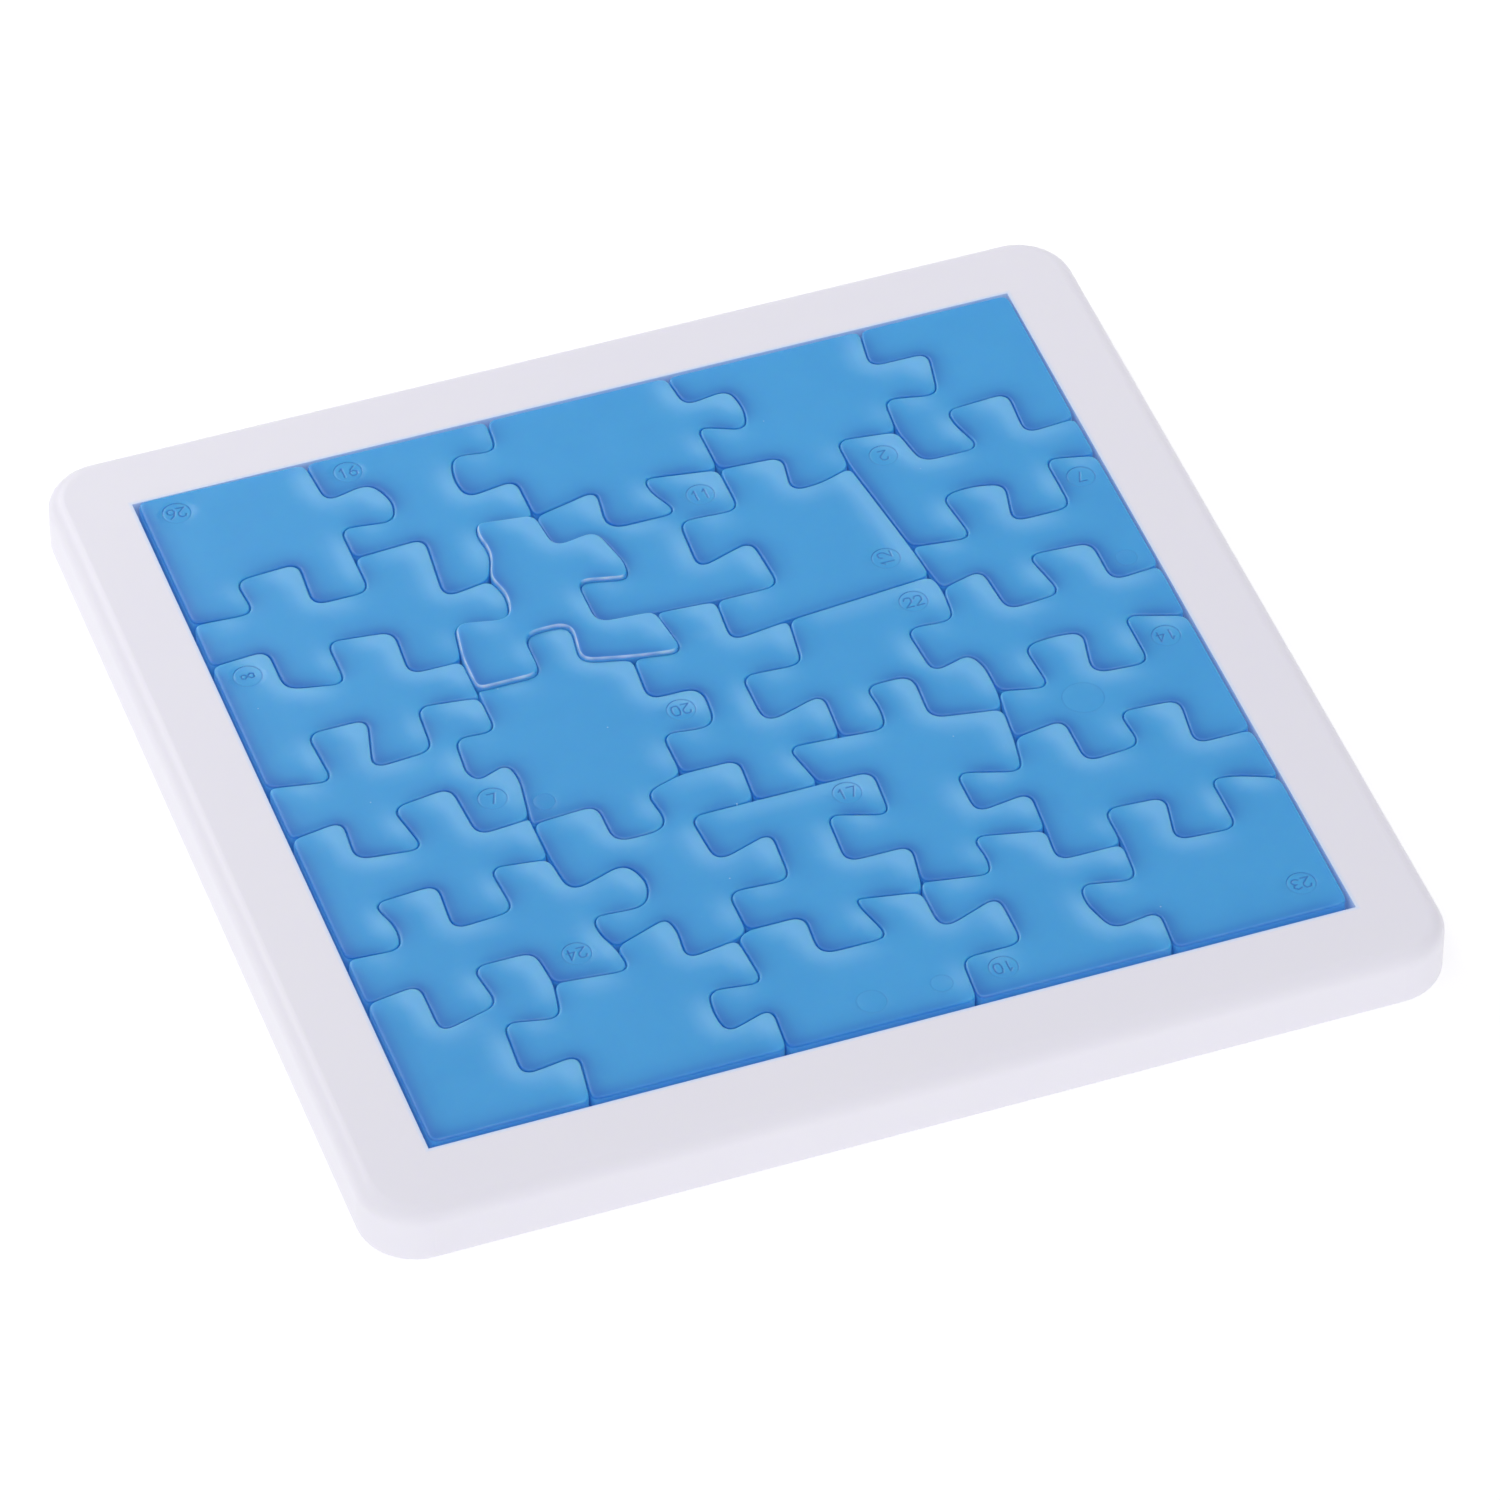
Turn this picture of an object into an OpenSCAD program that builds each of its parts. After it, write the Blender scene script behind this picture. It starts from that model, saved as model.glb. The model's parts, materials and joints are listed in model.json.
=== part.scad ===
// Interlocking packing puzzle: a square moulded tray with twenty-nine jigsaw pieces lying in it.
// The origin is the middle of the tray's underside. +X runs right along the front edge,
// +Y runs to the back edge and +Z is up. All sizes are in millimetres.

/* [Tray] */
// Side of the square pocket the pieces lie in.
pocket_w = 112; // [80:1:180]
// Width of the flat rim around the pocket.
rim_w = 9.5; // [5:0.5:20]
// Height of the tray from the table to the top of the rim.
tray_h = 7.5; // [5:0.5:20]
// Thickness of the floor under the pieces.
floor_t = 2; // [1:0.25:4]
// Radius of the tray's four outer corners, seen from above.
outer_r = 7; // [3:0.5:15]
// Radius of the rounded edge around the top of the rim.
top_edge_r = 2; // [0.5:0.25:3]
// Radius of the small rounded edge around the base.
base_edge_r = 0.5; // [0.25:0.25:1]

/* [Pieces] */
// How far the tops of the pieces stand above the rim.
proud = 0.5; // [0:0.1:2]
// The piece that stands a little higher than the rest, by its number.
high_piece = 7; // [1:1:29]
// How much higher that piece stands.
high_by = 0.25; // [0:0.05:1]
// Gap between two neighbouring pieces.
seam_gap = 0.15; // [0.1:0.05:0.6]
// Length of curve on each side of an ordinary corner of a piece.
corner_bend = 1.8; // [0.5:0.1:2.5]
// Length of curve on each side of a corner where several pieces meet.
meeting_bend = 1.2; // [0.3:0.1:2]
// Number of short straight steps in each curved corner.
corner_steps = 6; // [3:1:8]

/* [Moulded marks] */
// Diameter of the fine ring around each piece number.
ring_d = 3.6; // [2:0.1:5]
// Width of the groove that draws a ring.
ring_groove = 0.3; // [0.2:0.05:0.6]
// Depth of a ring below the top of its piece.
ring_depth = 0.2; // [0.1:0.05:0.5]
// Diameter of the larger ejector pin mark.
ejector_d = 5; // [3:0.25:7]

/* [Hidden] */
layout_w = 112;
fit_scale = pocket_w / layout_w;
outer_w = pocket_w + 2 * rim_w;
pocket_depth = tray_h - floor_t;
piece_t = pocket_depth + proud;
eps = 0.01;

// Meeting points of the pieces, in the layout of a 112 mm pocket.
// 0 to 23 go round the pocket wall clockwise from the back left corner.
meeting = [
    [-55.5, 55.9], [-34.5, 55.6], [-11.5, 55.5], [11.5, 55.5], [36.5, 55.5], [55.8, 55.6],
    [55.6, 32], [55.6, 25], [55.7, 4.5], [55.6, -4.5], [55.6, -25], [55.7, -33.5],
    [55.5, -55.1],
    [34, -55.2], [10, -55.2], [-13, -55.2], [-36.5, -55.3], [-55.5, -55.3],
    [-55.6, -32.5], [-55.6, -25], [-55.6, -4.5], [-55.6, 4.5], [-55.6, 26], [-55.5, 33.5],
    // 24 to 31: down the left part, from the back.
    [-34, 38], [-20, 29], [-27.5, 17], [-27.5, 11.5], [-27.5, 10.5],
    [-28.5, -10.5], [-28.5, -11.5], [-28.5, -17.5],
    // 32 and 33: front left.
    [-26, -33.5], [-34.5, -36.5],
    // 34 to 39: along the back row and down the slanted seam.
    [-11.5, 37.5], [12, 38], [27, 33], [34.5, 37], [29, 17.5], [29.5, 12],
    // 40 to 43: down the right part.
    [30, 9.5], [30, -9], [29.5, -12], [29, -17],
    // 44 to 51: round the cross in the middle.
    [-3.5, 17], [4, 16.5], [-8.5, 10.5], [11, 10.5],
    [-9.5, -9.5], [10, -10], [-3, -16.5], [5, -16.5],
    // 52 to 57: along the front row.
    [-12.5, -37], [-11, -36], [10.5, -35.5], [10, -37], [27, -32.5], [34.5, -37.5]
];

// Seams that are not straight: from one meeting point to another, through these corners.
// A third number on a corner is its own length of curve.
seams = [
    // Back row.
    [1, 24, [[-34, 48.5], [-28, 50, 2.5], [-26.5, 45.5], [-27.5, 42.5], [-34, 43.5]]],
    [23, 24, [[-48, 33], [-48.5, 39], [-40.5, 39.5], [-41, 32], [-34, 32]]],
    [24, 25, [[-25, 38.5], [-26, 28, 2]]],
    [2, 34, [[-12, 50], [-17.5, 51, 2.2], [-18.5, 47], [-18, 43.5, 2.2], [-11.5, 44.5]]],
    [25, 34, [[-18.5, 33], [-19, 36.5], [-18.5, 38.5, 2]]],
    [34, 35, [[-3, 39.5], [-4, 32.5, 2.5], [5, 32.5], [3, 37], [3, 39.5]]],
    [3, 35, [[12, 50], [18, 51, 2], [18.5, 46.5], [17.5, 43.5, 2], [12, 46]]],
    [35, 36, [[20, 37.5], [19, 31.5], [22.5, 31.5]]],
    [36, 37, [[27, 38]]],
    [4, 37, [[35.5, 49], [43, 49], [41.5, 41.5], [35, 43]]],
    [37, 6, [[35.5, 31], [43, 31], [41.5, 36], [41.5, 38.5], [49.5, 39], [49, 31.5]]],
    // Left column, from the back to the front.
    [25, 26, [[-19, 25.5], [-20, 21.5], [-26.5, 23]]],
    [22, 26, [[-48.5, 26.5], [-48.5, 19.5], [-41.5, 18], [-41.5, 25.5], [-33.5, 24.5], [-34, 17]]],
    [21, 28, [[-48, 3], [-48.5, 11.5], [-41, 11.5], [-43, 3.5], [-35.5, 4], [-35, 11.5]]],
    [28, 29, [[-27.5, 4.5], [-32.5, 5], [-33, -1], [-32, -2.5], [-28, -1], [-27.5, -4]]],
    [20, 29, [[-49, -3.5], [-49.5, -10], [-41.5, -11], [-43, -3.5], [-35.5, -2.5], [-35, -11]]],
    [19, 31, [[-49, -25.5], [-48.5, -22], [-50, -17.5], [-42, -17], [-42.5, -24.5], [-35, -24],
        [-35.5, -16.5]]],
    [31, 32, [[-28, -23.5, 2.5], [-20.5, -21, 2.5], [-19, -25], [-20.5, -28.5], [-27, -28],
        [-27, -31]]],
    [32, 33, [[-25.5, -37.5]]],
    [18, 33, [[-49, -31.5], [-49, -39.5], [-41.5, -37.5], [-42.5, -31], [-35, -31]]],
    [33, 16, [[-35.5, -42], [-42, -40.5], [-42.5, -49], [-35.5, -48]]],
    // Middle, from the back to the front.
    [34, 44, [[-11, 31.5], [-5.5, 32.5], [-4, 26], [-4.5, 23.5], [-10.5, 25], [-10.5, 17.5]]],
    [35, 45, [[12, 30.5], [4.5, 31], [4, 22.5, 2], [11.5, 25, 2], [12, 16.5]]],
    [27, 46, [[-19.5, 11.5], [-19.5, 18.5, 2.2], [-13.5, 18.5, 2.2], [-14.5, 12]]],
    [44, 46, [[-2.5, 9.5]]],
    [45, 47, [[3.5, 9.5]]],
    [46, 48, [[-9, 3.5], [-2.5, 3.5, 2.4], [-3, -3.5, 2.6], [-9.5, -2.5]]],
    [49, 47, [[10.5, -2.5, 2], [2.5, -5, 2.5], [2.5, 3.5], [10, 3]]],
    [30, 48, [[-20.5, -11], [-20.5, -17.5, 2], [-13.5, -17.5, 3], [-14.5, -11]]],
    [48, 50, [[-2.5, -9.5]]],
    [51, 49, [[3.5, -9.5]]],
    [50, 53, [[-11, -16.5], [-10.5, -24.5, 2.2], [-3, -22], [-3.5, -30], [-11, -29.5]]],
    [51, 54, [[11.5, -16.5], [11, -24], [4, -21.5], [3.5, -29.5], [11.5, -29.5]]],
    // Right column, from the back to the front.
    [7, 38, [[49.5, 26.5], [49.5, 17.5], [42, 17.5], [43.5, 24], [39.5, 25], [35.5, 24.5],
        [36.5, 16.5]]],
    [8, 40, [[49.5, 4], [49.5, 11], [41.5, 11.5], [43, 4], [36, 3.5], [35.5, 11]]],
    [40, 41, [[29.5, 4], [23.5, 4.5], [24, -3.5], [29, -2], [30, -4.5]]],
    [9, 41, [[48.5, -2], [48.5, -10.5], [41.5, -10, 2.2], [43, -3], [39.5, -2.5], [35.5, -3],
        [36, -10.5]]],
    [49, 42, [[15.5, -10.5], [16, -7], [15.5, -3, 2.2], [21.5, -3, 2.2], [21, -10.5]]],
    [10, 43, [[48.5, -25], [49.5, -17.5], [42, -17], [42.5, -23], [35.5, -23.5], [35.5, -16]]],
    [43, 56, [[28, -22.5], [20.5, -20], [20.5, -27], [27.5, -26]]],
    [56, 57, [[26.5, -37.5]]],
    [57, 11, [[34.5, -31.5], [42, -32], [40.5, -39], [48, -39.5], [48, -31], [51, -31.5]]],
    // Front row.
    [32, 52, [[-19, -31], [-18.5, -33.5], [-19, -38]]],
    [52, 15, [[-12, -44.5], [-18.5, -43.5], [-19, -47.5], [-18.5, -50.5], [-12.5, -48.5]]],
    [53, 55, [[-4, -36], [-4.5, -42.5, 2.2], [4, -42.5], [2.5, -37], [2.5, -35.5]]],
    [56, 54, [[18.5, -30.5], [19, -34.5], [18.5, -37]]],
    [55, 14, [[10, -43.5, 2.5], [18, -40.5, 2], [18, -48.5], [10.5, -48.5]]],
    [57, 13, [[34, -43.5], [27.5, -42], [27, -45], [28.5, -50], [34.5, -49]]]
];

// The meeting points around each piece, clockwise, from the back row to the front row.
pieces = [
    [0, 1, 24, 23],
    [1, 2, 34, 25, 24],
    [2, 3, 35, 34],
    [3, 4, 37, 36, 35],
    [4, 5, 6, 37],
    [23, 24, 25, 26, 22],
    [25, 34, 44, 46, 27, 26],
    [34, 35, 45, 44],
    [35, 36, 38, 39, 47, 45],
    [36, 37, 6, 7, 38],
    [22, 26, 27, 28, 21],
    [21, 28, 29, 20],
    [27, 46, 48, 30, 29, 28],
    [46, 44, 45, 47, 49, 51, 50, 48],
    [47, 39, 40, 41, 42, 49],
    [38, 7, 8, 40, 39],
    [40, 8, 9, 41],
    [20, 29, 30, 31, 19],
    [19, 31, 32, 33, 18],
    [30, 48, 50, 53, 52, 32, 31],
    [50, 51, 54, 55, 53],
    [49, 42, 43, 56, 54, 51],
    [41, 9, 10, 43, 42],
    [43, 10, 11, 57, 56],
    [18, 33, 16, 17],
    [33, 32, 52, 15, 16],
    [52, 53, 55, 14, 15],
    [54, 56, 57, 13, 14, 55],
    [57, 11, 12, 13]
];

// Middle of the fine ring on each numbered piece: piece, across, back.
rings = [
    [1, -51.5, 52.5], [2, -30, 52.5], [8, 8.5, 34.5], [9, 25.5, 16.5], [10, 31.5, 33.5],
    [11, -52, 23], [12, -31.5, -6], [13, -6, 0.5], [15, 26, 8.5], [16, 52.5, 22],
    [19, -30.5, -33], [21, 7.5, -19], [23, 52, -7], [28, 14.5, -51.5], [29, 51.5, -50.5]
];

// Middle of each ejector pin mark: piece, across, back.
ejectors = [
    [23, 39, -13.5]
];

function reversed(list) = [for (i = [len(list) - 1 : -1 : 0]) list[i]];

function corners_between(a, b) =
    let (along = [for (s = seams) if (s[0] == a && s[1] == b) s[2]])
    let (against = [for (s = seams) if (s[0] == b && s[1] == a) reversed(s[2])])
    len(along) > 0 ? along[0] : len(against) > 0 ? against[0] : [];

function with_bend(point, usual) = [point[0], point[1], len(point) > 2 ? point[2] : usual];

// All the sharp corners of one piece, each with its length of curve.
function sharp_outline(ring) = [
    for (i = [0 : len(ring) - 1])
        let (here = ring[i], there = ring[(i + 1) % len(ring)])
        each concat(
            [with_bend(meeting[here], meeting_bend)],
            [for (p = corners_between(here, there)) with_bend(p, corner_bend)]
        )
];

function flat(p) = [p[0], p[1]];
function toward(from, to, reach) = from + (to - from) * reach / norm(to - from);

// A corner turned into a curve that starts and ends the same distance from it.
function curve(before, at, after, bend) =
    let (reach = min(bend, 0.48 * norm(before - at), 0.48 * norm(after - at)))
    let (start = toward(at, before, reach), end = toward(at, after, reach))
    [for (i = [0 : corner_steps])
        let (s = i / corner_steps)
        start * (1 - s) * (1 - s) + at * 2 * s * (1 - s) + end * s * s];

function outline(number) =
    let (sharp = sharp_outline(pieces[number - 1]), n = len(sharp))
    [for (i = [0 : n - 1])
        each curve(flat(sharp[(i + n - 1) % n]), flat(sharp[i]), flat(sharp[(i + 1) % n]),
            sharp[i][2]) * fit_scale];

module ring_cut(d) {
    difference() {
        cylinder(h = ring_depth + eps, d = d, $fn = 48);
        translate([0, 0, -eps])
            cylinder(h = ring_depth + 3 * eps, d = d - 2 * ring_groove, $fn = 48);
    }
}

function thickness(number) = piece_t + (number == high_piece ? high_by : 0);

module marks(number, list, d) {
    for (m = list)
        if (m[0] == number)
            translate([m[1] * fit_scale, m[2] * fit_scale, thickness(number) - ring_depth])
                ring_cut(d);
}

module piece(number) {
    color([0.29, 0.6, 0.83])
        translate([0, 0, floor_t])
            difference() {
                linear_extrude(height = thickness(number))
                    offset(delta = -seam_gap / 2)
                        polygon(outline(number));
                marks(number, rings, ring_d);
                marks(number, ejectors, ejector_d);
            }
}

// Outer edge of the tray as a slice from its middle line out to its side.
module side_slice(reach) {
    difference() {
        union() {
            square([reach - top_edge_r, tray_h]);
            translate([0, base_edge_r])
                square([reach, tray_h - base_edge_r - top_edge_r]);
            square([reach - base_edge_r, tray_h / 2]);
            translate([reach - top_edge_r, tray_h - top_edge_r])
                circle(r = top_edge_r, $fn = 96);
            translate([reach - base_edge_r, base_edge_r])
                circle(r = base_edge_r, $fn = 96);
        }
        translate([-reach, -1])
            square([reach, tray_h + 2]);
    }
}

module tray_side(angle) {
    rotate([0, 0, angle])
        translate([-(outer_w / 2 - outer_r), 0, 0])
            rotate([90, 0, 90])
                linear_extrude(height = outer_w - 2 * outer_r)
                    side_slice(outer_w / 2);
}

module tray_corner(angle) {
    rotate([0, 0, angle])
        translate([outer_w / 2 - outer_r, outer_w / 2 - outer_r, 0])
            rotate_extrude(angle = 90, $fn = 96)
                side_slice(outer_r);
}

module tray() {
    color([0.92, 0.92, 0.93])
        difference() {
            union() {
                for (angle = [0 : 90 : 270]) {
                    tray_side(angle);
                    tray_corner(angle);
                }
            }
            translate([-pocket_w / 2, -pocket_w / 2, floor_t])
                cube([pocket_w, pocket_w, tray_h]);
        }
}

module piece_01() piece(1);
module piece_02() piece(2);
module piece_03() piece(3);
module piece_04() piece(4);
module piece_05() piece(5);
module piece_06() piece(6);
module piece_07() piece(7);
module piece_08() piece(8);
module piece_09() piece(9);
module piece_10() piece(10);
module piece_11() piece(11);
module piece_12() piece(12);
module piece_13() piece(13);
module piece_14() piece(14);
module piece_15() piece(15);
module piece_16() piece(16);
module piece_17() piece(17);
module piece_18() piece(18);
module piece_19() piece(19);
module piece_20() piece(20);
module piece_21() piece(21);
module piece_22() piece(22);
module piece_23() piece(23);
module piece_24() piece(24);
module piece_25() piece(25);
module piece_26() piece(26);
module piece_27() piece(27);
module piece_28() piece(28);
module piece_29() piece(29);

tray();
piece_01();
piece_02();
piece_03();
piece_04();
piece_05();
piece_06();
piece_07();
piece_08();
piece_09();
piece_10();
piece_11();
piece_12();
piece_13();
piece_14();
piece_15();
piece_16();
piece_17();
piece_18();
piece_19();
piece_20();
piece_21();
piece_22();
piece_23();
piece_24();
piece_25();
piece_26();
piece_27();
piece_28();
piece_29();
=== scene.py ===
"""Looks of the tray packing puzzle: a white moulded tray with twenty-nine frosted blue jigsaw pieces.

Metres in the part's own frame: the origin is the middle of the tray's underside, +X runs right
along the front edge, +Y to the back edge and +Z up. Shapes are worked out in millimetres.
"""

import json
import math
import random

import bpy
import numpy as np
from mathutils import Matrix, Vector
from mathutils.geometry import delaunay_2d_cdt


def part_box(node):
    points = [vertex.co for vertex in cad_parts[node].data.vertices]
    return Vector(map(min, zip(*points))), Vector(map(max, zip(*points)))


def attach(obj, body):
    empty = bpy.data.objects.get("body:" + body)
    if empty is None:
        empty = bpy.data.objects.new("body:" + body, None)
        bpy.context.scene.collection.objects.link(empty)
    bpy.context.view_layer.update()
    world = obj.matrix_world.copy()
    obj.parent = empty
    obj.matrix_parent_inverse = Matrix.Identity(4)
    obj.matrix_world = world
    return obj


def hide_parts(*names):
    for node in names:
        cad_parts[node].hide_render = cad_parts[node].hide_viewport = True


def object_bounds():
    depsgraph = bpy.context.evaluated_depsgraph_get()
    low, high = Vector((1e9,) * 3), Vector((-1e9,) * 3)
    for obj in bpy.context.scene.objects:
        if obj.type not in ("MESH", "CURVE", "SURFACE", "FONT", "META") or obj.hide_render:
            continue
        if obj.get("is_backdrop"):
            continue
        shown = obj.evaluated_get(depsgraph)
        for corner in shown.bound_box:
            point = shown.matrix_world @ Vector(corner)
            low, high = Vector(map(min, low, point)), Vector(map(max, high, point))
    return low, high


MM = 0.001

# ---- sizes of the moulded pieces, in millimetres ----
EDGE_ROUND = 0.22       # radius of the rounded edge around a piece's top
CROWN_REACH = 1.8       # the top dips over this distance towards its edge
CROWN_DIP = 0.04        # and by this much
FLARE = 0.055           # the draft of the mould makes a piece this much wider below its edge
FLARE_DEPTH = 0.45      # and this far down
EDGE_STEPS = (0.0, 0.06, 0.25, 0.55, 1.0)   # places across the rounded edge, as shares of it
SHARP_ANGLE = 60        # degrees past which two faces meet in a sharp edge
OUTLINE_STEP = 0.4      # spacing of points along an outline
FOOT_LIFT = 0.03        # air left between a piece and the tray's floor
TOP_RINGS = ((0.5, 1), (0.9, 2), (1.4, 2), (1.8, 3))    # rows of points inside an edge: how far
                                                        # in, and every which outline point
TOP_GRID, TOP_SPACING = 1.3, 0.7    # grid of points over the rest of the top, and least spacing
GRID_REACH = 60                     # the grid runs this far each way from the tray's middle
RING_SPACING, EDGE_CLEAR = 0.3, 0.12    # least spacing in those rows, and clear of the edge
FINE_SPACING, NUMBER_GRID = 0.05, 0.085     # least spacing round a mark, and grid in a number
SEAT_LOW, SEAT_HIGH = 0.22, 0.3     # how far below the CAD top the seated pieces end
LEAN = 0.0015                       # most that a seated piece leans, rise over run
HIGH_PIECE = "piece_07"             # this one stands higher than the rest
# its seat below the CAD top, its two leans, and the strength of the painted highlight on its lit
# edges
HIGH_SEAT, HIGH_LEAN, HIGH_HIGHLIGHT = 0.08, (-0.001, -0.0015), 0.7
MOST_HIGHLIGHT = 0.1                     # painted highlight on the lit edges of the other pieces, at most
BY_TRAY = 0.6                       # an edge this near to the pocket's wall lies against it
RING_MID, RING_WIDE, RING_DEEP = 1.72, 0.28, 0.11    # fine ring around a number
STROKE_WIDE, STROKE_DEEP = 0.34, 0.13                # engraved strokes of a number
DIGIT_HIGH, DIGIT_WIDE, DIGIT_GAP = 1.6, 0.92, 0.36
PIN_WIDE, PIN_DEEP = 0.28, 0.04                      # groove round an ejector pin mark

# ---- painted glow and shade, standing in for how light soaks into a piece ----
LIGHT_RUNS = np.array([0.8, 0.6])   # the way light runs through a piece, seen from above; it sets where glow, shade and edge highlights are painted
SOAK_REACH = (1.6, 0.7)             # millimetres that the painted glow and shade spread from a wall, wide and close
WALL_GLOW = 0.07                    # strength of the painted glow, an emission, on a piece's walls, standing in for light that leaves it there
POCKET_GLOW = 0.12                  # strength of the painted blue glow, an emission, on the pocket's walls
# The band of that painted glow, in millimetres out from the pieces: it starts, is full, fades, is
# gone.
POCKET_BAND = (0.05, 0.15, 0.3, 0.8)
# The painted glow and shade from the walls, spread wide and close, are mixed in these shares,
# divided by the level that counts as full, and raised to a power that keeps the middle of a piece
# plain.
GATHERED_MIX, GATHERED_FULL, GATHERED_POWER, GATHERED_MOST = (1.5, -0.5), 0.34, 1.3, 0.8
MISSING_MIX, MISSING_FULL, MISSING_POWER = (0.65, 0.45), 0.4, 1.2
WALL_GATHERED, WALL_MISSING = 0.4, 0.2      # least painted glow and most painted shade on the walls themselves
PLASTIC_INDEX = 1.53                # refractive index, as of ABS; the blue plastic looks right too
CHUNK = 800                         # points handled at a time, to save memory

# ---- what is engraved: piece, middle across and back, turn in degrees, number ----
NUMBERS = [
    ("piece_01", -51.5, 52.5, 180, "26"), ("piece_02", -30.0, 52.5, 0, "16"),
    ("piece_08", 8.5, 34.5, 0, "11"), ("piece_09", 25.5, 16.5, 90, "12"),
    ("piece_10", 31.5, 33.5, 180, "2"), ("piece_11", -52.0, 23.0, 90, "8"),
    ("piece_12", -31.5, -6.0, 0, "7"), ("piece_13", -6.0, 0.5, 180, "20"),
    ("piece_15", 26.0, 8.5, 0, "22"), ("piece_16", 52.5, 22.0, 180, "7"),
    ("piece_19", -30.5, -33.0, 180, "24"), ("piece_21", 7.5, -19.0, 0, "17"),
    ("piece_23", 52.0, -7.0, 180, "14"), ("piece_28", 14.5, -51.5, 180, "10"),
    ("piece_29", 51.5, -50.5, 180, "23"),
]
# Round marks left by the ejector pins: piece, middle across and back, diameter.
PIN_MARKS = [
    ("piece_23", 39.0, -13.5, 5.0), ("piece_13", -26.0, -8.5, 2.6),
    ("piece_27", -1.5, -51.5, 3.5), ("piece_27", 7.0, -51.5, 2.6),
    ("piece_16", 52.5, 7.0, 2.6), ("piece_28", 14.0, -43.0, 2.6),
    ("piece_08", -7.5, 28.5, 2.8),
]
# Plain single-stroke numerals in a box one wide and one high.
NUMERALS = {
    "0": [[(0, .3), (.15, .05), (.5, 0), (.85, .05), (1, .3), (1, .7), (.85, .95), (.5, 1),
           (.15, .95), (0, .7), (0, .3)]],
    "1": [[(.2, .75), (.55, 1), (.55, 0)]],
    "2": [[(0, .75), (.15, .95), (.5, 1), (.85, .95), (1, .72), (.9, .5), (0, 0), (1, 0)]],
    "3": [[(0, .9), (.5, 1), (.95, .8), (.8, .56), (.4, .52), (.85, .45), (1, .25), (.8, .04),
           (.4, 0), (0, .12)]],
    "4": [[(.75, 0), (.75, 1), (0, .3), (1, .3)]],
    "6": [[(.8, 1), (.25, .7), (0, .3), (.2, .03), (.6, 0), (.95, .15), (.95, .42), (.6, .56),
           (.15, .48)]],
    "7": [[(0, 1), (1, 1), (.35, 0)]],
    "8": [[(.5, .53), (.1, .75), (.25, .97), (.75, .97), (.9, .75), (.5, .53), (.05, .27),
           (.2, .03), (.8, .03), (.95, .27), (.5, .53)]],
}


# ------------------------------------------------------------------ colour and nodes

def hex_colour(text):
    """An sRGB hex colour as the linear values that a shader reads."""
    parts = [int(text[i:i + 2], 16) / 255 for i in (1, 3, 5)]
    return [p / 12.92 if p <= 0.04045 else ((p + 0.055) / 1.055) ** 2.4 for p in parts] + [1.0]


def per_mm(size):
    """The scale that makes a pattern repeat about every so many millimetres."""
    return 1 / (size * MM)


def add(tree, kind, inputs=None, **settings):
    """A node with its own settings, and its inputs given as values or as sockets to link."""
    made = tree.nodes.new(kind)
    for name, value in settings.items():
        setattr(made, name, value)
    for name, value in (inputs or {}).items():
        if isinstance(value, bpy.types.NodeSocket):
            tree.links.new(value, made.inputs[name])
        else:
            made.inputs[name].default_value = value
    return made


def new_material(name):
    material = bpy.data.materials.new(name)
    material.use_nodes = True
    material.node_tree.nodes.clear()
    return material, material.node_tree


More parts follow.
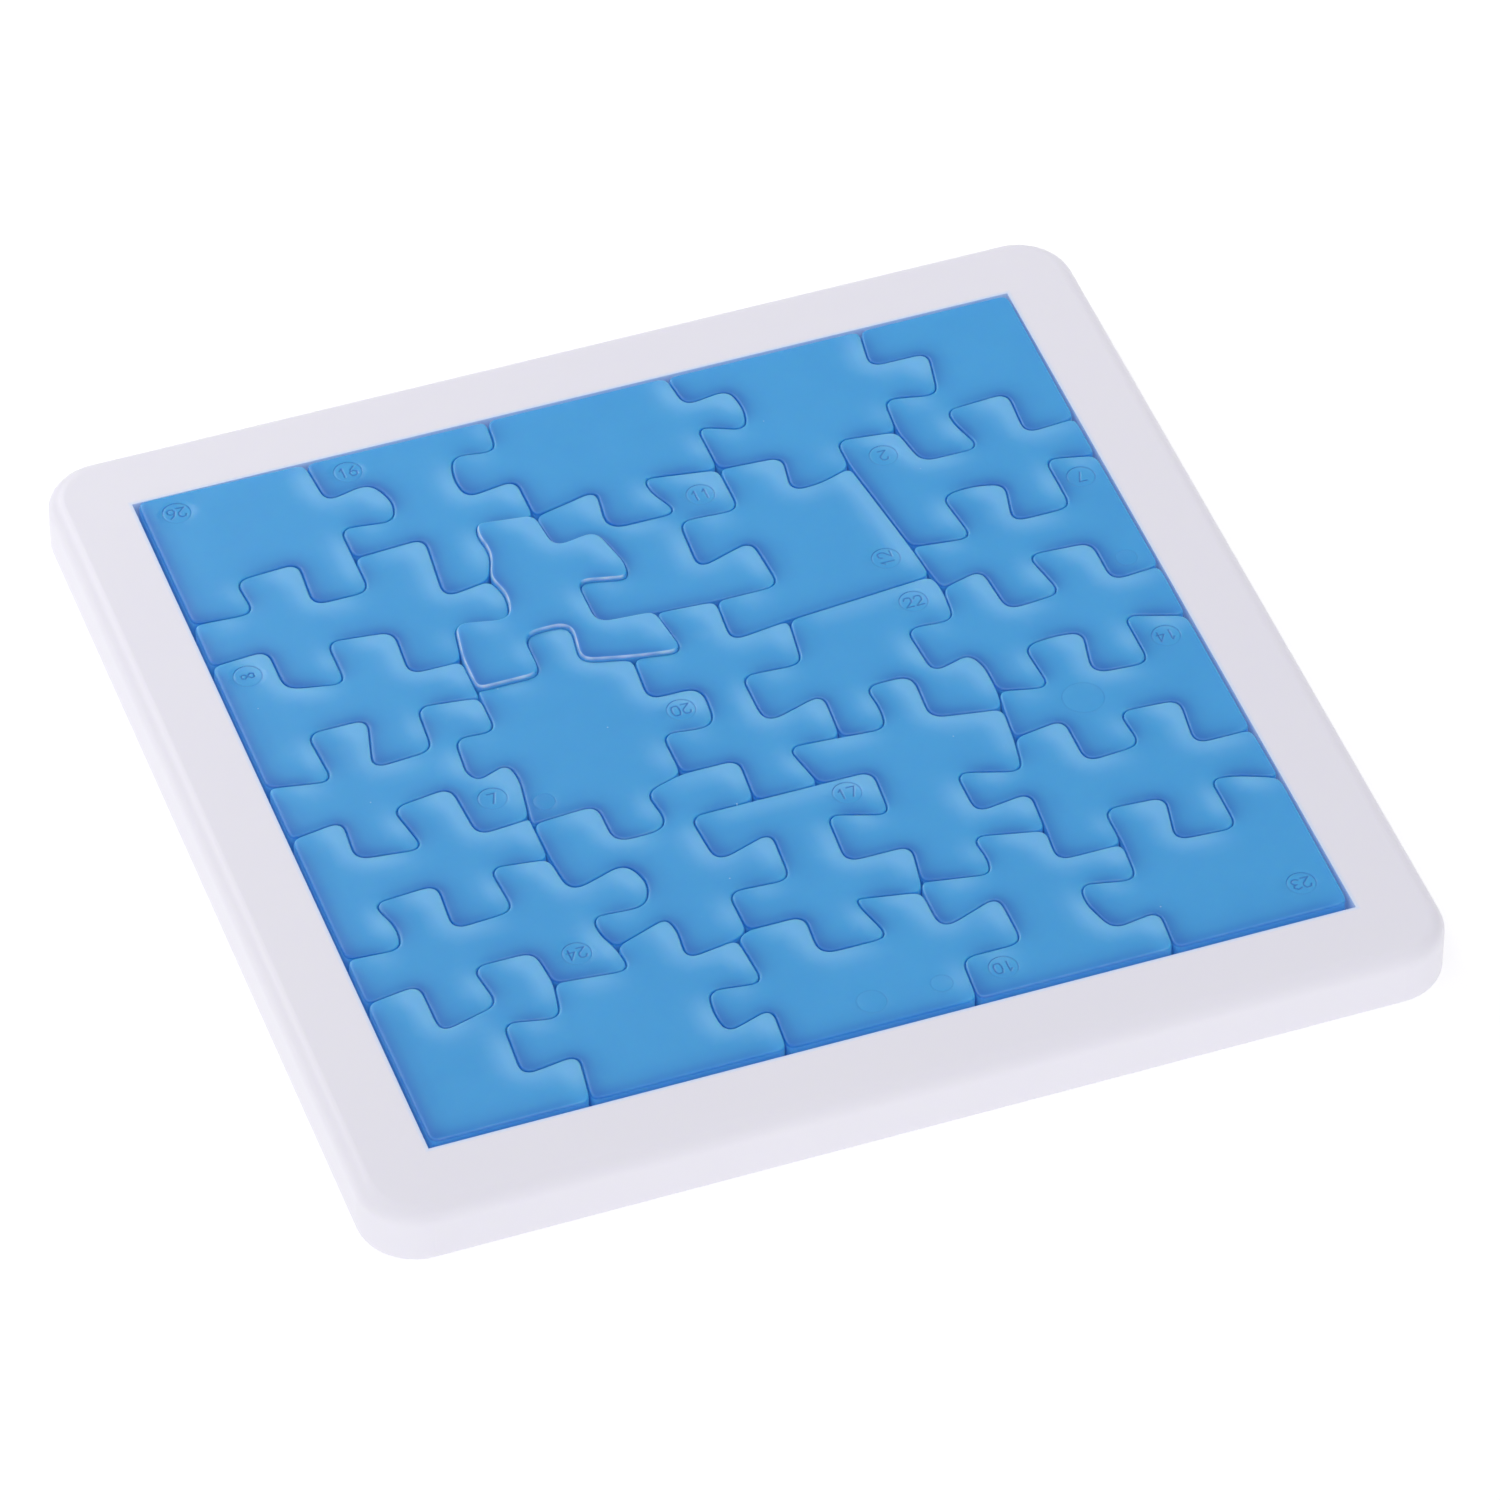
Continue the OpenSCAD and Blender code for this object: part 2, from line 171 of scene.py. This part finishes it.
def white_moulded_plastic(pocket_reach):
    """Injection moulded white ABS with a satin tool finish.

    The eye sees a cool, slightly lavender white, soft wide highlights along the rounded edges,
    a barely grained skin and a faint unevenness where the melt flowed. The walls of the pocket
    are tinted a pale blue and glow faintly blue, an emission: painted light standing in for the
    blue light that the pieces pass on.
    """
    material, tree = new_material("white_moulded_plastic")
    where = add(tree, "ShaderNodeTexCoord").outputs["Object"]
    flow = add(tree, "ShaderNodeTexNoise", {"Vector": where, "Scale": per_mm(45), "Detail": 3.0})
    grain = add(tree, "ShaderNodeTexNoise", {"Vector": where, "Scale": per_mm(0.5), "Detail": 2.0})
    shell = add(tree, "ShaderNodeMix", {
        0: flow.outputs["Fac"], 6: hex_colour("#F1EFF6"), 7: hex_colour("#EDEBF4"),
    }, data_type="RGBA")
    # Painted light: near the pieces the pocket's walls are tinted pale blue and glow faintly blue, an
    # emission, standing in for light that the pieces pass on.
    place = add(tree, "ShaderNodeSeparateXYZ", {"Vector": where})
    across = add(tree, "ShaderNodeMath", {0: place.outputs["X"]}, operation="ABSOLUTE")
    deep = add(tree, "ShaderNodeMath", {0: place.outputs["Y"]}, operation="ABSOLUTE")
    out = add(tree, "ShaderNodeMath", {0: across.outputs[0], 1: deep.outputs[0]},
              operation="MAXIMUM")
    starts, full, fades, gone = ((pocket_reach + away) * MM for away in POCKET_BAND)
    inner = add(tree, "ShaderNodeMapRange", {
        "Value": out.outputs[0], "From Min": starts, "From Max": full})
    outer = add(tree, "ShaderNodeMapRange", {
        "Value": out.outputs[0], "From Min": fades, "From Max": gone, "To Min": 1.0,
        "To Max": 0.0})
    wall = add(tree, "ShaderNodeMath", {0: inner.outputs["Result"], 1: outer.outputs["Result"]},
               operation="MULTIPLY")
    colour = add(tree, "ShaderNodeMix", {
        0: wall.outputs[0], 6: shell.outputs[2], 7: hex_colour("#D2DDF2")}, data_type="RGBA")
    painted_pocket_glow = add(tree, "ShaderNodeMath", {0: wall.outputs[0], 1: POCKET_GLOW},
                    operation="MULTIPLY")
    rough = add(tree, "ShaderNodeMapRange", {"Value": flow.outputs["Fac"], "To Min": 0.32,
                                             "To Max": 0.42})
    skin = add(tree, "ShaderNodeBump", {"Height": grain.outputs["Fac"], "Strength": 0.06,
                                        "Distance": 0.02 * MM})
    plastic = add(tree, "ShaderNodeBsdfPrincipled", {
        "Base Color": colour.outputs[2], "Roughness": rough.outputs["Result"],
        "Normal": skin.outputs["Normal"], "IOR": PLASTIC_INDEX,
        "Subsurface Weight": 0.25, "Subsurface Radius": (1.2, 1.1, 1.4),
        "Subsurface Scale": MM, "Emission Color": hex_colour("#9DBFEA"),
        "Emission Strength": painted_pocket_glow.outputs[0],
    })
    add(tree, "ShaderNodeOutputMaterial", {"Surface": plastic.outputs["BSDF"]})
    return material


def frosted_blue_plastic():
    """Injection moulded polystyrene, tinted blue and slightly milky, with a frosted skin.

    Light soaks a few millimetres into it, blue furthest. Where it would gather at the walls it
    runs towards, soft patches of painted glow go into the colour, with painted shade along the
    other walls and in the engraved marks; a painted glow, an emission, on the walls lightens the
    thin blue line down each gap, and a painted pale highlight runs along the edges that face the
    light. It has a few specks of dust and a satin sheen on top.
    """
    material, tree = new_material("frosted_blue_plastic")
    where = add(tree, "ShaderNodeTexCoord").outputs["Object"]
    cloud = add(tree, "ShaderNodeTexNoise", {"Vector": where, "Scale": per_mm(14), "Detail": 8.0,
                                             "Roughness": 0.68})
    grain = add(tree, "ShaderNodeTexNoise", {"Vector": where, "Scale": per_mm(0.35),
                                             "Detail": 2.0})
    flat = add(tree, "ShaderNodeMapping", {"Vector": where, "Scale": (1.0, 1.0, 0.0)})
    # Specks are too fine to show at their real size, so they are drawn about 0.2 mm across.
    dust = add(tree, "ShaderNodeTexVoronoi", {"Vector": flat.outputs["Vector"],
                                              "Scale": per_mm(2.5)})
    speck = add(tree, "ShaderNodeMapRange", {
        "Value": dust.outputs["Distance"], "From Min": 0.02, "From Max": 0.05,
        "To Min": 0.6, "To Max": 0.0})
    which = add(tree, "ShaderNodeSeparateColor", {"Color": dust.outputs["Color"]})
    few = add(tree, "ShaderNodeMath", {0: which.outputs["Red"], 1: 0.93},
              operation="GREATER_THAN")
    dusty = add(tree, "ShaderNodeMath", {0: speck.outputs["Result"], 1: few.outputs[0]},
                operation="MULTIPLY")
    # Painted light and shade: the mesh code stores where each piece gets painted glow, painted shade,
    # a painted glow on its walls and a painted edge highlight.
    gathered = add(tree, "ShaderNodeAttribute", attribute_name="painted_glow").outputs["Fac"]
    missing = add(tree, "ShaderNodeAttribute", attribute_name="painted_shade").outputs["Fac"]
    leaving = add(tree, "ShaderNodeAttribute", attribute_name="painted_wall_glow").outputs["Fac"]
    # Painted glow: a faint blue emission on the walls of each piece, standing in for light leaving
    # through them.
    wall_glow_strength = add(tree, "ShaderNodeMath", {0: leaving, 1: WALL_GLOW}, operation="MULTIPLY")
    highlight_strength = add(tree, "ShaderNodeAttribute", attribute_name="painted_edge_highlight").outputs["Fac"]
    body = add(tree, "ShaderNodeMix", {
        0: cloud.outputs["Fac"], 6: hex_colour("#3BA1DE"), 7: hex_colour("#4AAFE8"),
    }, data_type="RGBA")
    # Painted glow: a lighter blue where light would gather by the walls.
    lit = add(tree, "ShaderNodeMix", {
        0: gathered, 6: body.outputs[2], 7: hex_colour("#7CC4F4")}, data_type="RGBA")
    # Painted shade: a deeper blue along the walls away from the light and in the engraved marks.
    deep = add(tree, "ShaderNodeMix", {
        0: missing, 6: lit.outputs[2], 7: hex_colour("#2279C8")}, data_type="RGBA")
    # Painted highlight: a pale line along the rounded edges that face the light.
    edged = add(tree, "ShaderNodeMix", {
        0: highlight_strength, 6: deep.outputs[2], 7: hex_colour("#D5E2F8")}, data_type="RGBA")
    colour = add(tree, "ShaderNodeMix", {
        0: dusty.outputs[0], 6: edged.outputs[2], 7: hex_colour("#CFE8FA")}, data_type="RGBA")
    sink = add(tree, "ShaderNodeTexNoise", {"Vector": where, "Scale": per_mm(3.5),
                                            "Detail": 1.0})
    wavy = add(tree, "ShaderNodeBump", {"Height": sink.outputs["Fac"], "Strength": 0.6,
                                        "Distance": 0.12 * MM})
    skin = add(tree, "ShaderNodeBump", {"Height": grain.outputs["Fac"], "Strength": 0.16,
                                        "Distance": 0.02 * MM, "Normal": wavy.outputs["Normal"]})
    plastic = add(tree, "ShaderNodeBsdfPrincipled", {
        "Base Color": colour.outputs[2], "Roughness": 0.33, "IOR": PLASTIC_INDEX,
        "Normal": skin.outputs["Normal"],
        "Subsurface Weight": 1.0, "Subsurface Radius": (0.4, 0.9, 1.5), "Subsurface Scale": MM,
        "Emission Color": hex_colour("#4F8FC4"), "Emission Strength": wall_glow_strength.outputs[0],
    })
    add(tree, "ShaderNodeOutputMaterial", {"Surface": plastic.outputs["BSDF"]})
    return material


# ------------------------------------------------------------------ outlines

def outline_of(node):
    """The outline of a CAD piece's underside, in order, in millimetres."""
    mesh = node.data
    low = min(v.co.z for v in mesh.vertices)
    key = {}
    place = []

    def corner(index):
        co = mesh.vertices[index].co
        name = (round(co.x / MM, 3), round(co.y / MM, 3))
        if name not in key:
            key[name] = len(place)
            place.append((co.x / MM, co.y / MM))
        return key[name]

    following = {}
    for face in mesh.polygons:
        if all(mesh.vertices[i].co.z < low + 0.01 * MM for i in face.vertices):
            ring = [corner(i) for i in face.vertices]
            for a, b in zip(ring, ring[1:] + ring[:1]):
                if following.get(b) and a in following[b]:
                    following[b].remove(a)
                else:
                    following.setdefault(a, []).append(b)
    start = next(a for a in following if following[a])
    loop, here = [], start
    while True:
        loop.append(place[here])
        here = following[here][0]
        if here == start:
            break
    loop = np.array(loop)
    turn = (loop[:, 0] * np.roll(loop[:, 1], -1) - np.roll(loop[:, 0], -1) * loop[:, 1]).sum()
    return loop if turn > 0 else loop[::-1]


def even_points(loop, step):
    """The outline with points at an even step, its corners eased a little."""
    points = []
    for a, b in zip(loop, np.roll(loop, -1, axis=0)):
        parts = max(1, int(math.ceil(np.linalg.norm(b - a) / step)))
        points += [a + (b - a) * i / parts for i in range(parts)]
    points = np.array(points)
    for _ in range(2):
        points = points * 0.5 + (np.roll(points, 1, axis=0) + np.roll(points, -1, axis=0)) * 0.25
    return points


def inward(points):
    """Unit directions into the piece, for an outline that runs anticlockwise."""
    along = np.roll(points, -1, axis=0) - np.roll(points, 1, axis=0)
    along /= np.linalg.norm(along, axis=1)[:, None]
    return np.stack([-along[:, 1], along[:, 0]], axis=1)


def distance_to(points, line, closed=True):
    """Least distance from each point to a line of points."""
    starts = line if closed else line[:-1]
    ends = np.roll(line, -1, axis=0) if closed else line[1:]
    side = ends - starts
    length = np.maximum((side ** 2).sum(1), 1e-12)
    nearest = np.full(len(points), 1e9)
    for first in range(0, len(points), CHUNK):
        part = points[first:first + CHUNK]
        t = (((part[:, None] - starts[None]) * side[None]).sum(2) / length[None]).clip(0, 1)
        gap = part[:, None] - (starts[None] + t[..., None] * side[None])
        nearest[first:first + CHUNK] = np.sqrt((gap ** 2).sum(2)).min(1)
    return nearest


def inside(points, loop):
    """True for each point inside the outline."""
    a, b = loop, np.roll(loop, -1, axis=0)
    y = points[:, 1][:, None]
    crosses = (a[None, :, 1] > y) != (b[None, :, 1] > y)
    with np.errstate(divide="ignore", invalid="ignore"):
        at = (b[:, 0] - a[:, 0])[None] * (y - a[None, :, 1]) / (b[:, 1] - a[:, 1])[None] + a[:, 0]
    return (crosses & (points[:, 0][:, None] < at)).sum(1) % 2 == 1


def thinned(groups):
    """Points of all groups, less those closer to an earlier one than their group's spacing."""
    kept, cells = [], {}
    for points, spacing in groups:
        for x, y in points:
            cx, cy = math.floor(x), math.floor(y)
            near = (p for i in (-1, 0, 1) for j in (-1, 0, 1)
                    for p in cells.get((cx + i, cy + j), ()))
            if all((p[0] - x) ** 2 + (p[1] - y) ** 2 > spacing ** 2 for p in near):
                kept.append((x, y))
                cells.setdefault((cx, cy), []).append((x, y))
    return kept


# ------------------------------------------------------------------ engraved marks

def number_strokes(x, y, turn, text):
    """The strokes of an engraved number, as lines of points in millimetres."""
    angle = math.radians(turn)
    c, s = math.cos(angle), math.sin(angle)
    full = len(text) * DIGIT_WIDE + (len(text) - 1) * DIGIT_GAP
    lines = []
    for place, digit in enumerate(text):
        left = -full / 2 + place * (DIGIT_WIDE + DIGIT_GAP)
        for stroke in NUMERALS[digit]:
            line = [(left + u * DIGIT_WIDE, (v - 0.5) * DIGIT_HIGH) for u, v in stroke]
            lines.append(np.array([(x + c * u - s * v, y + s * u + c * v) for u, v in line]))
    return lines


def circle_points(x, y, radius, spacing):
    """Evenly spaced points around a circle."""
    count = max(12, int(2 * math.pi * radius / spacing))
    angles = np.arange(count) * 2 * math.pi / count
    return np.stack([x + radius * np.cos(angles), y + radius * np.sin(angles)], axis=1)


def groove(distance, wide, deep):
    """Depth of a soft V groove at a distance from its middle line."""
    return deep * np.clip(1 - distance / (wide / 2), 0, 1) ** 1.5


def mark_points(marks, rings):
    """Where a piece's top needs fine points, for its engraved number and pin marks."""
    groups = []
    for x, y, turn, text in marks:
        for off in (0, -RING_WIDE / 4, RING_WIDE / 4, -RING_WIDE / 2, RING_WIDE / 2):
            groups.append((circle_points(x, y, RING_MID + off, 0.16), FINE_SPACING))
        reach = math.hypot(DIGIT_HIGH / 2, DIGIT_WIDE + DIGIT_GAP / 2) + 0.1
        steps = np.arange(-reach, reach, NUMBER_GRID)
        grid = np.array([(x + u, y + v) for u in steps for v in steps])
        groups.append((grid[np.hypot(grid[:, 0] - x, grid[:, 1] - y) < reach], FINE_SPACING))
    for x, y, across in rings:
        for off in (0, -0.07, 0.07, -0.14, 0.14):
            groups.append((circle_points(x, y, across / 2 + off, 0.25), FINE_SPACING))
    return groups


def mark_depth(points, marks, rings):
    """How deep the marks are at each point. A ring is deeper along its back than its front."""
    depth = np.zeros(len(points))
    for x, y, turn, text in marks:
        away = np.hypot(points[:, 0] - x, points[:, 1] - y)
        tilt = 0.65 + 0.35 * (points[:, 1] - y) / np.maximum(away, 0.01)
        depth = np.maximum(depth, tilt * groove(abs(away - RING_MID), RING_WIDE, RING_DEEP))
        near = away < RING_MID
        if near.any():
            for line in number_strokes(x, y, turn, text):
                gap = distance_to(points[near], line, closed=False)
                depth[near] = np.maximum(depth[near], groove(gap, STROKE_WIDE, STROKE_DEEP))
    for x, y, across in rings:
        away = np.hypot(points[:, 0] - x, points[:, 1] - y)
        depth = np.maximum(depth, groove(abs(away - across / 2), PIN_WIDE, PIN_DEEP))
    return depth


# ------------------------------------------------------------------ one moulded piece

def crown(distance):
    """How far the top has dipped at a distance from the outline."""
    return CROWN_DIP * (1 - np.clip(distance / CROWN_REACH, 0, 1)) ** 2


def painted_wall_light(points, loop, into, by_tray, reach):
    """Painted light near the walls it runs towards, up to 0.4, or painted shade by the others, to
    -0.4.
    """
    run = np.roll(loop, -1, axis=0) - loop
    weight = np.linalg.norm(run, axis=1) * (into @ LIGHT_RUNS)
    weight[by_tray & (weight < 0)] = 0
    found = np.zeros(len(points))
    for first in range(0, len(points), CHUNK):
        part = points[first:first + CHUNK]
        gap = ((part[:, None] - loop[None]) ** 2).sum(2)
        near = np.exp(-gap / (2 * reach ** 2)) / (2 * math.pi * reach)
        found[first:first + CHUNK] = -(near * weight[None]).sum(1)
    return found


def paint_light_and_shade(mesh, points, loop, into, by_tray, painted_mark_shade, painted_highlight):
    """Stores how strongly each point of a piece gets painted glow, painted shade, a painted glow on
    its walls or a painted edge highlight, from 0 to 1.
    """
    wide, close = (painted_wall_light(points, loop, into, by_tray, reach) for reach in SOAK_REACH)
    found = GATHERED_MIX[0] * wide + GATHERED_MIX[1] * close
    lost = -(MISSING_MIX[0] * wide + MISSING_MIX[1] * close)
    gathered = GATHERED_MOST * np.clip(found / GATHERED_FULL, 0, 1) ** GATHERED_POWER
    missing = np.clip(lost / MISSING_FULL, 0, 1) ** MISSING_POWER
    # The engraved marks get painted shade, darker where they are deeper.
    missing = np.maximum(missing, painted_mark_shade)
    walls = 2 * len(loop)
    gathered[:walls] = np.maximum(gathered[:walls], WALL_GATHERED)
    missing[:walls] = np.minimum(missing[:walls], WALL_MISSING)
    # The walls get a painted glow, an emission, in the material.
    leaving = np.zeros(len(points))
    leaving[:walls] = 1
    for name, values in (("painted_glow", gathered), ("painted_shade", missing),
                         ("painted_wall_glow", leaving), ("painted_edge_highlight", painted_highlight)):
        layer = mesh.attributes.new(name, "FLOAT", "POINT")
        layer.data.foreach_set("value", values.astype(np.float32))


def moulded_piece(name, node, marks, rings, settle, highlight_strength, pocket_reach):
    """A closed mesh on the CAD piece's own outline, with a rounded top edge and its marks."""
    low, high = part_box(name)
    loop = even_points(outline_of(node), OUTLINE_STEP)
    count = len(loop)
    by_tray = abs(loop).max(axis=1) > pocket_reach - BY_TRAY
    into = inward(loop)
    for _ in range(2):
        into = into * 0.5 + (np.roll(into, 1, axis=0) + np.roll(into, -1, axis=0)) * 0.25
    vertices, faces = [], []

    def band(points, heights):
        """A ring of points joined to the ring made before it."""
        first = len(vertices)
        vertices.extend((x, y, z) for (x, y), z in zip(points, heights))
        if first:
            for i in range(count):
                j = (i + 1) % count
                faces.append((first - count + i, first - count + j, first + j, first + i))

    foot = low.z / MM + FOOT_LIFT
    flared = loop - into * FLARE
    band(flared, np.full(count, foot))
    band(flared, settle(loop) - FLARE_DEPTH)
    for inset in (share * EDGE_ROUND for share in EDGE_STEPS):
        points = loop + into * inset
        rounding = EDGE_ROUND - math.sqrt(EDGE_ROUND ** 2 - (EDGE_ROUND - inset) ** 2)
        band(points, settle(points) - rounding - crown(inset))
    edge, first = points, len(vertices) - count

    groups = mark_points(marks, rings)
    for depth, every in TOP_RINGS:
        points = (loop + into * depth)[::every]
        groups.append((points, RING_SPACING))
    size = np.arange(-GRID_REACH, GRID_REACH, TOP_GRID)
    grid = np.array([(u, v) for u in size for v in size
                     if loop[:, 0].min() < u < loop[:, 0].max()
                     and loop[:, 1].min() < v < loop[:, 1].max()])
    groups.append((grid, TOP_SPACING))
    inner = np.array(thinned(groups))
    inner = inner[inside(inner, loop)]
    inner = inner[distance_to(inner, loop) > EDGE_ROUND + EDGE_CLEAR]
    away = distance_to(inner, loop)
    heights = settle(inner) - crown(away) - mark_depth(inner, marks, rings)
    start = len(vertices)
    vertices.extend((x, y, z) for (x, y), z in zip(inner, heights))
    ring = [(i, (i + 1) % count) for i in range(count)]

    def cap(points, index_of, level):
        """Triangles that fill an outline, using its own points and any inside it."""
        places, _, found, origins, _, _ = delaunay_2d_cdt(
            [Vector(p) for p in points], ring, [], 1, 1e-6)
        source = []
        for place, origin in zip(places, origins):
            if origin:
                source.append(index_of(min(origin)))
            else:
                source.append(len(vertices))
                vertices.append((place.x, place.y, level))
        return [tuple(source[i] for i in face) for face in found]

    faces += cap(np.concatenate([edge, inner]),
                 lambda i: first + i if i < count else start + i - count, heights.mean())
    faces += [face[::-1] for face in cap(flared, lambda i: i, foot)]
    mesh = bpy.data.meshes.new(name + "_moulded")
    mesh.from_pydata([(x * MM, y * MM, z * MM) for x, y, z in vertices], [], faces)
    mesh.validate()
    mesh.update()
    across = np.array([(x, y) for x, y, z in vertices])
    # Painted shade for the engraved marks, from their depth.
    painted_mark_shade = mark_depth(across, marks, rings) / RING_DEEP
    along = np.arange(count) * OUTLINE_STEP
    # The painted highlight along the edges that face the light is stronger in some places than
    # in others, in uneven waves a few millimetres long.
    ragged = 0.75 + 0.25 * np.sin(along * 1.9) * np.sin(along * 0.7 + 1.0)
    lit_side = np.clip((into @ LIGHT_RUNS) * 2.0, 0, 1) * highlight_strength * ragged
    painted_highlight = np.zeros(len(vertices))
    for turn in range(2, 6):
        painted_highlight[turn * count:(turn + 1) * count] = lit_side
    paint_light_and_shade(mesh, across, loop, into, by_tray, painted_mark_shade, painted_highlight)
    mesh.shade_smooth()
    mesh.set_sharp_from_angle(angle=math.radians(SHARP_ANGLE))
    piece = bpy.data.objects.new(name + "_moulded", mesh)
    bpy.context.scene.collection.objects.link(piece)
    return piece


def settled(high, rng):
    """How a piece sits in the tray: the level of its top in millimetres, and its two leans."""
    top = high.z / MM - rng.uniform(SEAT_LOW, SEAT_HIGH)
    return top, rng.uniform(-LEAN, LEAN), rng.uniform(-LEAN, LEAN)


# ------------------------------------------------------------------ camera and light

# The camera looks at AIM from STAND_OFF away. Angles are in degrees, lens and sensor in mm.
AZIMUTH, ELEVATION, ROLL = -19.859, 44.536, 0.065
AIM = Vector((-0.648, -8.371, 7.5)) * MM
STAND_OFF = 1120.558 * MM
LENS, SENSOR = 230.85, 36.0
# The studio is a white tent, brightest in front of the object and to its left.
KEY_FROM = Vector((-0.28, -0.50, 0.82))
KEY_POWER, FILL_POWER = 0.97, 0.56
BACK_LAMP = (-0.15, 0.45, 0.35)     # a soft lamp behind the object and a little to its left
BACK_SIZE, BACK_POWER = 0.3, 0.7
FLOOR_HALF, FLOOR_DROP = 3.0, 0.05 * MM


def set_camera():
    camera = bpy.data.objects.new("camera", bpy.data.cameras.new("camera"))
    bpy.context.scene.collection.objects.link(camera)
    a, e = math.radians(AZIMUTH), math.radians(ELEVATION)
    back = Vector((math.sin(a) * math.cos(e), -math.cos(a) * math.cos(e), math.sin(e)))
    right = Vector((math.cos(a), math.sin(a), 0))
    up = back.cross(right)
    roll = Matrix.Rotation(math.radians(ROLL), 3, back)
    right, up = roll @ right, roll @ up
    turn = Matrix((right, up, back)).transposed().to_4x4()
    camera.matrix_world = Matrix.Translation(AIM + back * STAND_OFF) @ turn
    camera.data.lens = LENS
    camera.data.sensor_width = SENSOR
    camera.data.clip_start, camera.data.clip_end = 0.05, 20
    bpy.context.scene.camera = camera


def set_back_lamp():
    """A square soft lamp that lifts the back of the object a little above its front."""
    lamp = bpy.data.lights.new("back_lamp", "AREA")
    lamp.shape, lamp.size, lamp.size_y = "RECTANGLE", BACK_SIZE, BACK_SIZE
    lamp.energy, lamp.color = BACK_POWER, hex_colour("#FFFFFF")[:3]
    holder = bpy.data.objects.new("back_lamp", lamp)
    bpy.context.scene.collection.objects.link(holder)
    holder.location = BACK_LAMP
    holder.rotation_mode = "QUATERNION"
    holder.rotation_quaternion = (-Vector(BACK_LAMP)).to_track_quat("-Z", "Y")


def set_stage():
    """A plain white floor in a white tent, with a soft lamp behind."""
    mesh = bpy.data.meshes.new("floor")
    half, level = FLOOR_HALF, -FLOOR_DROP
    mesh.from_pydata([(-half, -half, level), (half, -half, level), (half, half, level),
                      (-half, half, level)], [], [(0, 1, 2, 3)])
    floor = bpy.data.objects.new("floor", mesh)
    bpy.context.scene.collection.objects.link(floor)
    material, tree = new_material("white_floor")
    paper = add(tree, "ShaderNodeBsdfPrincipled", {
        "Base Color": hex_colour("#E0E0E0"), "Roughness": 0.8,
        "Emission Color": hex_colour("#FFFFFF"), "Emission Strength": 0.42,
    })
    add(tree, "ShaderNodeOutputMaterial", {"Surface": paper.outputs["BSDF"]})
    floor.data.materials.append(material)
    floor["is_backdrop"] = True
    set_back_lamp()
    world = bpy.data.worlds.new("studio")
    world.use_nodes = True
    tree = world.node_tree
    tree.nodes.clear()
    way = add(tree, "ShaderNodeTexCoord").outputs["Generated"]
    facing = add(tree, "ShaderNodeVectorMath", {0: way, 1: KEY_FROM}, operation="DOT_PRODUCT")
    power = add(tree, "ShaderNodeMapRange", {
        "Value": facing.outputs["Value"], "From Min": 0.1, "From Max": 1.0,
        "To Min": FILL_POWER, "To Max": KEY_POWER}, interpolation_type="SMOOTHERSTEP")
    sky = add(tree, "ShaderNodeBackground", {"Color": hex_colour("#FCFCFF"),
                                             "Strength": power.outputs["Result"]})
    add(tree, "ShaderNodeOutputWorld", {"Surface": sky.outputs["Background"]})
    bpy.context.scene.world = world


# ------------------------------------------------------------------ assembly

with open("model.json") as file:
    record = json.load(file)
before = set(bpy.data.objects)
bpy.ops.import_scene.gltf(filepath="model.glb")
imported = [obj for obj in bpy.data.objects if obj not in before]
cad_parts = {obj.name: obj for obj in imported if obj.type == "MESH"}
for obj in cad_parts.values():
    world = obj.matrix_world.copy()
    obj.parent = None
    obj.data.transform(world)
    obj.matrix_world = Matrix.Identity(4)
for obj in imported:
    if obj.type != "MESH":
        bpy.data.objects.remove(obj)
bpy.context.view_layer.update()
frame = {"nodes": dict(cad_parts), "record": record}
bpy.context.scene.view_settings.view_transform = "Standard"
set_camera()
set_stage()
names = sorted(n for n in frame["nodes"] if n.startswith("piece_"))
pocket_reach = max(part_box(n)[1].x for n in names) / MM
white = white_moulded_plastic(pocket_reach)
blue = frosted_blue_plastic()

tray = frame["nodes"]["tray"]
tray.data.materials.clear()
tray.data.materials.append(white)

rng = random.Random(7)
body_of_node = {n: b for b, ns in frame["record"]["behaviour"]["bodies"].items() for n in ns}
for name in names:
    low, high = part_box(name)
    top, lean_x, lean_y = settled(high, rng)
    middle = ((low + high) / 2) / MM
    if name == HIGH_PIECE:
        top, (lean_x, lean_y) = high.z / MM - HIGH_SEAT, HIGH_LEAN
    marks = [m[1:] for m in NUMBERS if m[0] == name]
    rings = [m[1:] for m in PIN_MARKS if m[0] == name]

    def settle(points, top=top, lean_x=lean_x, lean_y=lean_y, middle=middle):
        lean = (points[:, 0] - middle.x) * lean_x + (points[:, 1] - middle.y) * lean_y
        return top + lean

    # strength of the painted highlight along the edges that face the light
    highlight_strength = HIGH_HIGHLIGHT if name == HIGH_PIECE else rng.uniform(0.0, MOST_HIGHLIGHT)
    piece = moulded_piece(name, frame["nodes"][name], marks, rings, settle, highlight_strength, pocket_reach)
    piece.data.materials.append(blue)
    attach(piece, body_of_node[name])
    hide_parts(name)

low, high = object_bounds()
